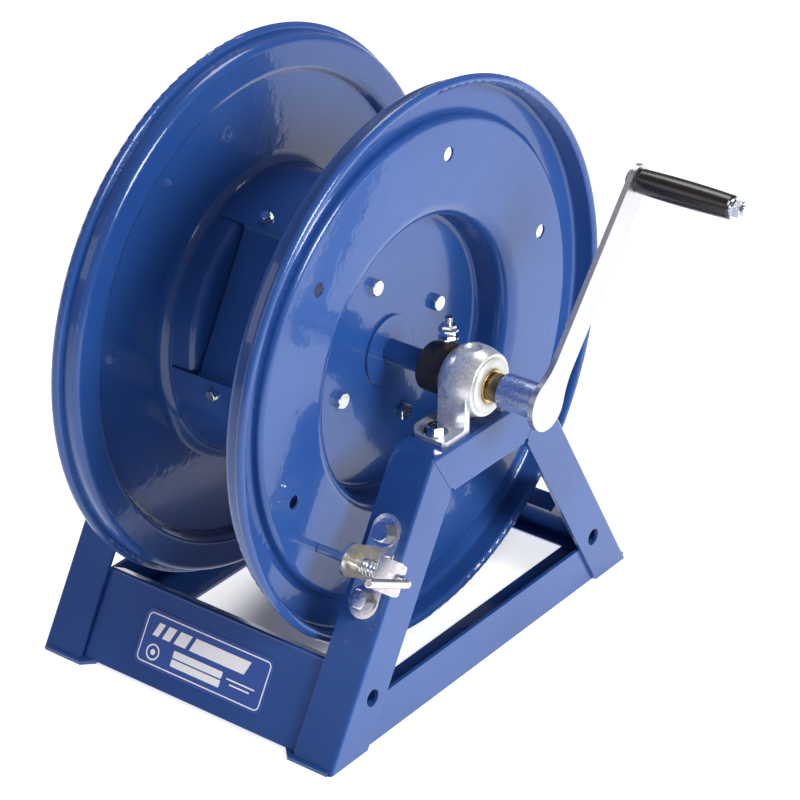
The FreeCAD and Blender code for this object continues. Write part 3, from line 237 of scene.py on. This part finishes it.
def moulded(name, colour, low, high, scale, depth, coat=0.0):
    """Moulded rubber or plastic with a fine grain."""
    n = Nodes(name)
    n.link(n.ramp(n.noise(18.0, 3.0), (0.3, shaded(colour, 0.7)), (0.7, colour)), "Base Color")
    n.link(n.ramp(n.noise(scale, 3.0), (0.3, low), (0.7, high)), "Roughness")
    n.set(Coat_Weight=coat, Coat_Roughness=0.2)
    n.bump((n.noise(scale, 4.0), 0.35, depth), normal=n.soft_edges(0.0006))
    return n.material


def printed(name, colour):
    """Ink on a glossy laminated label."""
    n = Nodes(name)
    n.link(n.ramp(n.noise(300.0, 2.0), (0.3, shaded(colour, 0.95)), (0.7, colour)), "Base Color")
    n.set(Roughness=0.3, Coat_Weight=0.3, Coat_Roughness=0.1)
    n.bump((n.noise(90.0, 2.0), 0.1, 0.0001))
    return n.material


PAINT = powder_coat()
ZINC = zinc("bright_zinc", (0.66, 0.69, 0.76), 0.10, 0.20)
THREADED = zinc("threaded_zinc", (0.66, 0.68, 0.73), 0.14, 0.28, pitch=INCH / 20)
LOCK_ZINC = zinc("cream_zinc", (0.95, 0.93, 0.87), 0.16, 0.26)
CASTING = cast_zinc()
SHIELD = cover()
BRASS = brushed("brass", (0.70, 0.50, 0.22), (40.0, 900.0, 900.0), 0.20, 0.34)
BRONZE = brushed("dark_bronze", (0.20, 0.15, 0.08), (900.0, 60.0, 60.0), 0.24, 0.40)
BRIGHT = brushed("bright_strip", (0.64, 0.64, 0.65), (60.0, 900.0, 240.0), 0.26, 0.36, None)
GROUND = brushed("ground_steel", (0.75, 0.75, 0.76), (900.0, 60.0, 60.0), 0.10, 0.20)
TUBE = speckled_tube()
RUBBER = moulded("black_rubber", (0.022, 0.021, 0.021), 0.40, 0.56, 520.0, 0.00020)
GRIP = moulded("black_moulding", (0.012, 0.009, 0.009), 0.22, 0.30, 260.0, 0.00004, 0.10)
INK_BLUE = printed("label_blue", (0.020, 0.075, 0.34))
INK_WHITE = printed("label_white", (0.92, 0.91, 0.94))

FINISHES = {
    "blue_paint": PAINT,
    "label": INK_BLUE,
    "cast_housing": CASTING,
    "bearing_steel": GROUND,
    "brass": BRASS,
    "shield": SHIELD,
    "zinc_fasteners": ZINC,
    "zinc_lock": LOCK_ZINC,
    "bright_steel": BRIGHT,
    "black_rubber": RUBBER,
    "black_plastic": GRIP,
}
SPECIAL = {
    "crank_spacer": BRONZE,
    "crank_hub": TUBE,
    "right_inner_race": BRASS,
    "left_inner_race": BRASS,
    "collector_stud": THREADED,
    "drum_terminal": THREADED,
}


def finish_node(name, material):
    thing = nodes[name]
    thing.data.materials.clear()
    thing.data.materials.append(material)


for entry in record["subparts"]:
    finish_node(entry["node"], SPECIAL.get(entry["node"], FINISHES[entry["material_slot"]]))

# ---------------------------------------------------------------- label print, bolt marks and spring

# The legs and the front panel lean inward from the feet to the shoulders of the side frames. In mm.
FOOT_REACH = 200.0
SHOULDER_REACH = 72.5
FRAME_TOP = 215.9
LABEL_GAUGE = 0.6

LEAN = math.atan2(FOOT_REACH - SHOULDER_REACH, FRAME_TOP)
UP_PANEL = Vector((0, math.sin(LEAN), math.cos(LEAN)))
OUT_OF_PANEL = Vector((0, -math.cos(LEAN), math.sin(LEAN)))


class Relief:
    """Thin raised shapes on flat faces, gathered into one mesh. Heights and outlines are in mm."""

    def __init__(self, height):
        self.height = height
        self.mesh = bmesh.new()

    def seat(self, centre, across, up):
        """Sets the face that the next shapes lie on, by its centre and its two directions."""
        self.face = (Vector(centre), Vector(across), Vector(up), Vector(across).cross(Vector(up)))

    def corner(self, point, level):
        centre, across, up, out = self.face
        place = centre + across * point[0] * MM + up * point[1] * MM
        return self.mesh.verts.new(place + out * (self.height * level * MM))

    def plate(self, outline):
        """A raised shape with a slightly drawn-in top."""
        middle = Vector((sum(p[0] for p in outline), sum(p[1] for p in outline))) / len(outline)
        inset = []
        for point in outline:
            spoke = Vector(point) - middle
            inset.append(middle + spoke * (1 - self.height * 0.5 / spoke.length))
        low = [self.corner(p, 0) for p in outline]
        high = [self.corner(p, 1) for p in inset]
        self.mesh.faces.new(high)
        for index in range(len(low)):
            after = (index + 1) % len(low)
            self.mesh.faces.new((low[index], low[after], high[after], high[index]))

    def band(self, outer, inner):
        """A raised line between two outlines with the same number of corners."""
        levels = ((outer, 0), (outer, 1), (inner, 1), (inner, 0))
        rows = [[self.corner(p, level) for p in outline] for outline, level in levels]
        for first, second in zip(rows, rows[1:]):
            for index in range(len(first)):
                after = (index + 1) % len(first)
                self.mesh.faces.new((first[index], first[after], second[after], second[index]))

    def finish(self, name, material, body):
        mesh = bpy.data.meshes.new(name)
        bmesh.ops.recalc_face_normals(self.mesh, faces=self.mesh.faces)
        self.mesh.to_mesh(mesh)
        self.mesh.free()
        thing = bpy.data.objects.new(name, mesh)
        bpy.context.collection.objects.link(thing)
        mesh.materials.append(material)
        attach(thing, body)


def rounded(half_length, half_height, radius, centre=(0, 0), steps=6):
    """The corners of a rounded rectangle, anticlockwise."""
    points = []
    for quarter, (sx, sy) in enumerate(((1, 1), (-1, 1), (-1, -1), (1, -1))):
        for step in range(steps + 1):
            angle = math.pi / 2 * (quarter + step / steps)
            x = centre[0] + sx * (half_length - radius) + radius * math.cos(angle)
            y = centre[1] + sy * (half_height - radius) + radius * math.sin(angle)
            points.append((x, y))
    return points


def circle(radius, centre):
    """The corners of a circle, anticlockwise."""
    corners = 28
    points = []
    for index in range(corners):
        angle = math.tau * index / corners
        points.append((centre[0] + radius * math.cos(angle), centre[1] + radius * math.sin(angle)))
    return points


def slanted(left, right, low, high):
    """The corners of a bar that leans to the right, anticlockwise."""
    lean = 0.35
    shift = (high - low) * lean
    return [(left, low), (right, low), (right + shift, high), (left + shift, high)]


def label_print():
    """A plain printed label: a border, stripes, a reel seen end on, two blank fields and two lines."""
    half_length = 62.6
    half_height = 20.0
    border_corner = 4.6
    border_line = 1.0
    stripes = ((-54, -48), (-44, -36), (-32, -20), (-16, 40))
    stripe_low = 2.6
    stripe_high = 13.8
    reel_spot = (-48.5, -10.0)
    reel_radius = 6.6
    reel_line = 1.3
    hub_radius = 2.4
    field_spots = ((-4.0, -4.9), (-4.0, -11.9))
    field_half_length = 25.0
    field_half_height = 2.9
    lines = ((14.0, (40.0, -5.6)), (10.0, (40.0, -9.2)))
    line_half_height = 0.6

    low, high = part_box("label_plate")
    ink = Relief(0.08)
    ink.seat((Vector(low) + Vector(high)) / 2 + OUT_OF_PANEL * LABEL_GAUGE / 2 * MM, (1, 0, 0), UP_PANEL)
    border = rounded(half_length, half_height, border_corner)
    inside = rounded(half_length - border_line, half_height - border_line, border_corner - border_line)
    ink.band(border, inside)
    for start, end in stripes:
        ink.plate(slanted(start, end, stripe_low, stripe_high))
    ink.band(circle(reel_radius, reel_spot), circle(reel_radius - reel_line, reel_spot))
    ink.plate(circle(hub_radius, reel_spot))
    for spot in field_spots:
        ink.plate(rounded(field_half_length, field_half_height, 0.7, spot, 3))
    for line_half_length, spot in lines:
        ink.plate(rounded(line_half_length, line_half_height, 0.3, spot, 2))
    ink.finish("label_print", INK_WHITE, "frame")


def islands(mesh):
    """The vertices of each separate solid of a mesh, in the order of the mesh."""
    seen = set()
    for first in mesh.verts:
        if first in seen:
            continue
        seen.add(first)
        island = [first]
        for vertex in island:
            for edge in vertex.link_edges:
                other = edge.other_vert(vertex)
                if other not in seen:
                    seen.add(other)
                    island.append(other)
        yield island


def head_tops(name, way):
    """The centres of the bolt heads' flat tops that face a way. Smaller flats are no heads."""
    smallest_head = 70 * MM * MM
    source = bmesh.new()
    source.from_mesh(nodes[name].data)
    bmesh.ops.remove_doubles(source, verts=source.verts, dist=1e-6)
    centres = []
    for island in islands(source):
        top = max(vertex.co.dot(way) for vertex in island)
        area = 0.0
        total = Vector()
        for face in dict.fromkeys(face for vertex in island for face in vertex.link_faces):
            middle = face.calc_center_median()
            if face.normal.dot(way) > 0.999 and abs(middle.dot(way) - top) < 0.01 * MM:
                area += face.calc_area()
                total += middle * face.calc_area()
        if area > smallest_head:
            centres.append(total / area)
    source.free()
    return sorted(centres, key=lambda c: (round(c.x, 5), round(c.y, 5), round(c.z, 5)))


def bolt_marks(name, node, way, body):
    """Six short radial ridges on each bolt head, as forged heads have."""
    ridges = 6
    inner = 2.5
    outer = 4.4
    half_width = 0.28
    first_angle = 0.4
    turn_per_head = 0.9
    way = Vector(way)
    side = Vector((0, 0, 1)) if abs(way.z) < 0.7 else Vector((1, 0, 0))
    across = way.cross(side).normalized()
    up = way.cross(across)
    marks = Relief(0.14)
    for number, centre in enumerate(head_tops(node, way)):
        marks.seat(centre, across, up)
        for index in range(ridges):
            angle = math.tau * index / ridges + first_angle + number * turn_per_head
            along = Vector((math.cos(angle), math.sin(angle)))
            wide = Vector((-along.y, along.x)) * half_width
            near = along * inner
            far = along * outer
            marks.plate([near - wide, far - wide, far + wide, near + wide])
    marks.finish(name, ZINC, body)


def lock_spring_coil():
    """The compression spring behind the lock pin's washer, built here at one length. On the reel it
    shortens as the pin is pulled out.
    """
    wire = 0.6 * MM
    turns = 3.5
    closed = 0.6
    closed_pitch = 2.15 * wire
    steps = 36
    sides = 12

    low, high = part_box("lock_spring")
    length = high[0] - low[0]
    radius = (high[1] - low[1]) / 2 - wire
    middle = Vector((0, (low[1] + high[1]) / 2, (low[2] + high[2]) / 2))
    open_turns = turns - 2 * closed
    open_pitch = (length - 2 * wire - 2 * closed * closed_pitch) / open_turns
    mesh = bmesh.new()
    rings = []
    for step in range(int(turns * steps) + 1):
        turn = step / steps
        opened = min(max(turn - closed, 0), open_turns)
        along = Vector((low[0] + wire + opened * open_pitch + (turn - opened) * closed_pitch, 0, 0))
        outward = Vector((0, math.cos(math.tau * turn + 1.0), math.sin(math.tau * turn + 1.0)))
        centre = middle + outward * radius + along
        ring = []
        for side in range(sides):
            angle = math.tau * side / sides
            spoke = outward * math.cos(angle) + Vector((math.sin(angle), 0, 0))
            ring.append(mesh.verts.new(centre + spoke * wire))
        rings.append(ring)
    for first, second in zip(rings, rings[1:]):
        for side in range(sides):
            after = (side + 1) % sides
            mesh.faces.new((first[side], first[after], second[after], second[side]))
    mesh.faces.new(rings[0])
    mesh.faces.new(reversed(rings[-1]))
    bmesh.ops.recalc_face_normals(mesh, faces=mesh.faces)
    for face in mesh.faces:
        face.smooth = len(face.verts) == 4
    data = bpy.data.meshes.new("lock_spring_coil")
    mesh.to_mesh(data)
    mesh.free()
    coil = bpy.data.objects.new("lock_spring_coil", data)
    bpy.context.collection.objects.link(coil)
    data.materials.append(ZINC)
    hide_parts("lock_spring")
    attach(coil, "frame")
    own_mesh(coil)


label_print()
lock_spring_coil()
bolt_marks("lock_bolt_marks", "lock_bolts", OUT_OF_PANEL, "frame")
bolt_marks("right_disc_bolt_marks", "disc_bolts", (1, 0, 0), "reel")
bolt_marks("left_disc_bolt_marks", "disc_bolts", (-1, 0, 0), "reel")
bolt_marks("housing_bolt_marks", "housing_bolts", (0, 0, 1), "frame")

# ---------------------------------------------------------------- floor, light and camera


def floor_white():
    """Glowing white paper, so that its edge never shows. The glow is dimmed under the reel as a painted
    shadow of the reel on the floor.
    """
    n = Nodes("floor_white")
    n.set(Base_Color=(0.80, 0.80, 0.80, 1), Roughness=0.9, Emission_Color=(1, 1, 1, 1))
    # Painted shadow: the floor's glow drops from 0.72 to 0.08 under the reel's footprint, standing in
    # for the shade the reel casts there.
    squeeze = n.tree.nodes.new("ShaderNodeMapping")
    squeeze.inputs["Location"].default_value = (0.0, -0.1, 0.0)
    squeeze.inputs["Scale"].default_value = (12.5, 5.6, 0.0)
    n.tree.links.new(n.place, squeeze.inputs["Vector"])
    reach = n.tree.nodes.new("ShaderNodeVectorMath")
    reach.operation = "LENGTH"
    n.tree.links.new(squeeze.outputs["Vector"], reach.inputs[0])
    painted_shadow = n.tree.nodes.new("ShaderNodeMapRange")
    painted_shadow.interpolation_type = "SMOOTHSTEP"
    painted_shadow.inputs["From Min"].default_value = 0.55
    painted_shadow.inputs["From Max"].default_value = 1.15
    painted_shadow.inputs["To Min"].default_value = 0.08
    painted_shadow.inputs["To Max"].default_value = 0.72
    n.tree.links.new(reach.outputs["Value"], painted_shadow.inputs["Value"])
    n.link(painted_shadow.outputs["Result"], "Emission Strength")
    return n.material


def floor():
    mesh = bpy.data.meshes.new("floor")
    reach = 30.0
    corners = [(-reach, -reach, 0), (reach, -reach, 0), (reach, reach, 0), (-reach, reach, 0)]
    mesh.from_pydata(corners, [], [(0, 1, 2, 3)])
    thing = bpy.data.objects.new("floor", mesh)
    bpy.context.collection.objects.link(thing)
    thing.data.materials.append(floor_white())


def softbox(name, place, aim, width, height, power, colour=(1, 1, 1)):
    data = bpy.data.lights.new(name, "AREA")
    data.shape = "RECTANGLE"
    data.size = width
    data.size_y = height
    data.energy = power
    data.color = colour
    thing = bpy.data.objects.new(name, data)
    bpy.context.collection.objects.link(thing)
    thing.location = place
    thing.rotation_euler = (Vector(aim) - Vector(place)).to_track_quat("-Z", "Y").to_euler()


def world():
    surroundings = bpy.data.worlds.new("studio")
    bpy.context.scene.world = surroundings
    surroundings.use_nodes = True
    background = surroundings.node_tree.nodes["Background"]
    background.inputs["Color"].default_value = (1.0, 0.93, 1.0, 1)
    background.inputs["Strength"].default_value = 0.22


def camera():
    place = (1.2705, -1.5733, 1.2741)
    forward = Vector((-0.53684, 0.69857, -0.47309))
    roll = math.radians(-0.19)
    data = bpy.data.cameras.new("camera")
    data.sensor_width = 36.0
    data.lens = 129.64
    thing = bpy.data.objects.new("camera", data)
    bpy.context.collection.objects.link(thing)
    turn = forward.to_track_quat("-Z", "Y").to_matrix() @ Matrix.Rotation(roll, 3, "Z")
    thing.matrix_world = Matrix.Translation(place) @ turn.to_4x4()
    data.clip_start = 0.05
    data.clip_end = 100.0
    bpy.context.scene.camera = thing


floor()
world()
softbox("key", (2.2, -0.15, 1.45), (0.0, 0.0, 0.25), 0.9, 0.9, 62.0, (0.94, 1.0, 1.0))
softbox("top", (-0.5, 0.9, 2.3), (0.0, 0.0, 0.2), 1.2, 0.9, 22.0)
softbox("fill", (-1.1, -2.0, 1.5), (0.0, 0.0, 0.2), 1.2, 1.2, 7.0, (1.0, 0.93, 1.0))
camera()
bpy.context.scene.view_settings.view_transform = "Standard"
bpy.context.scene.view_settings.look = "None"

bpy.context.view_layer.update()
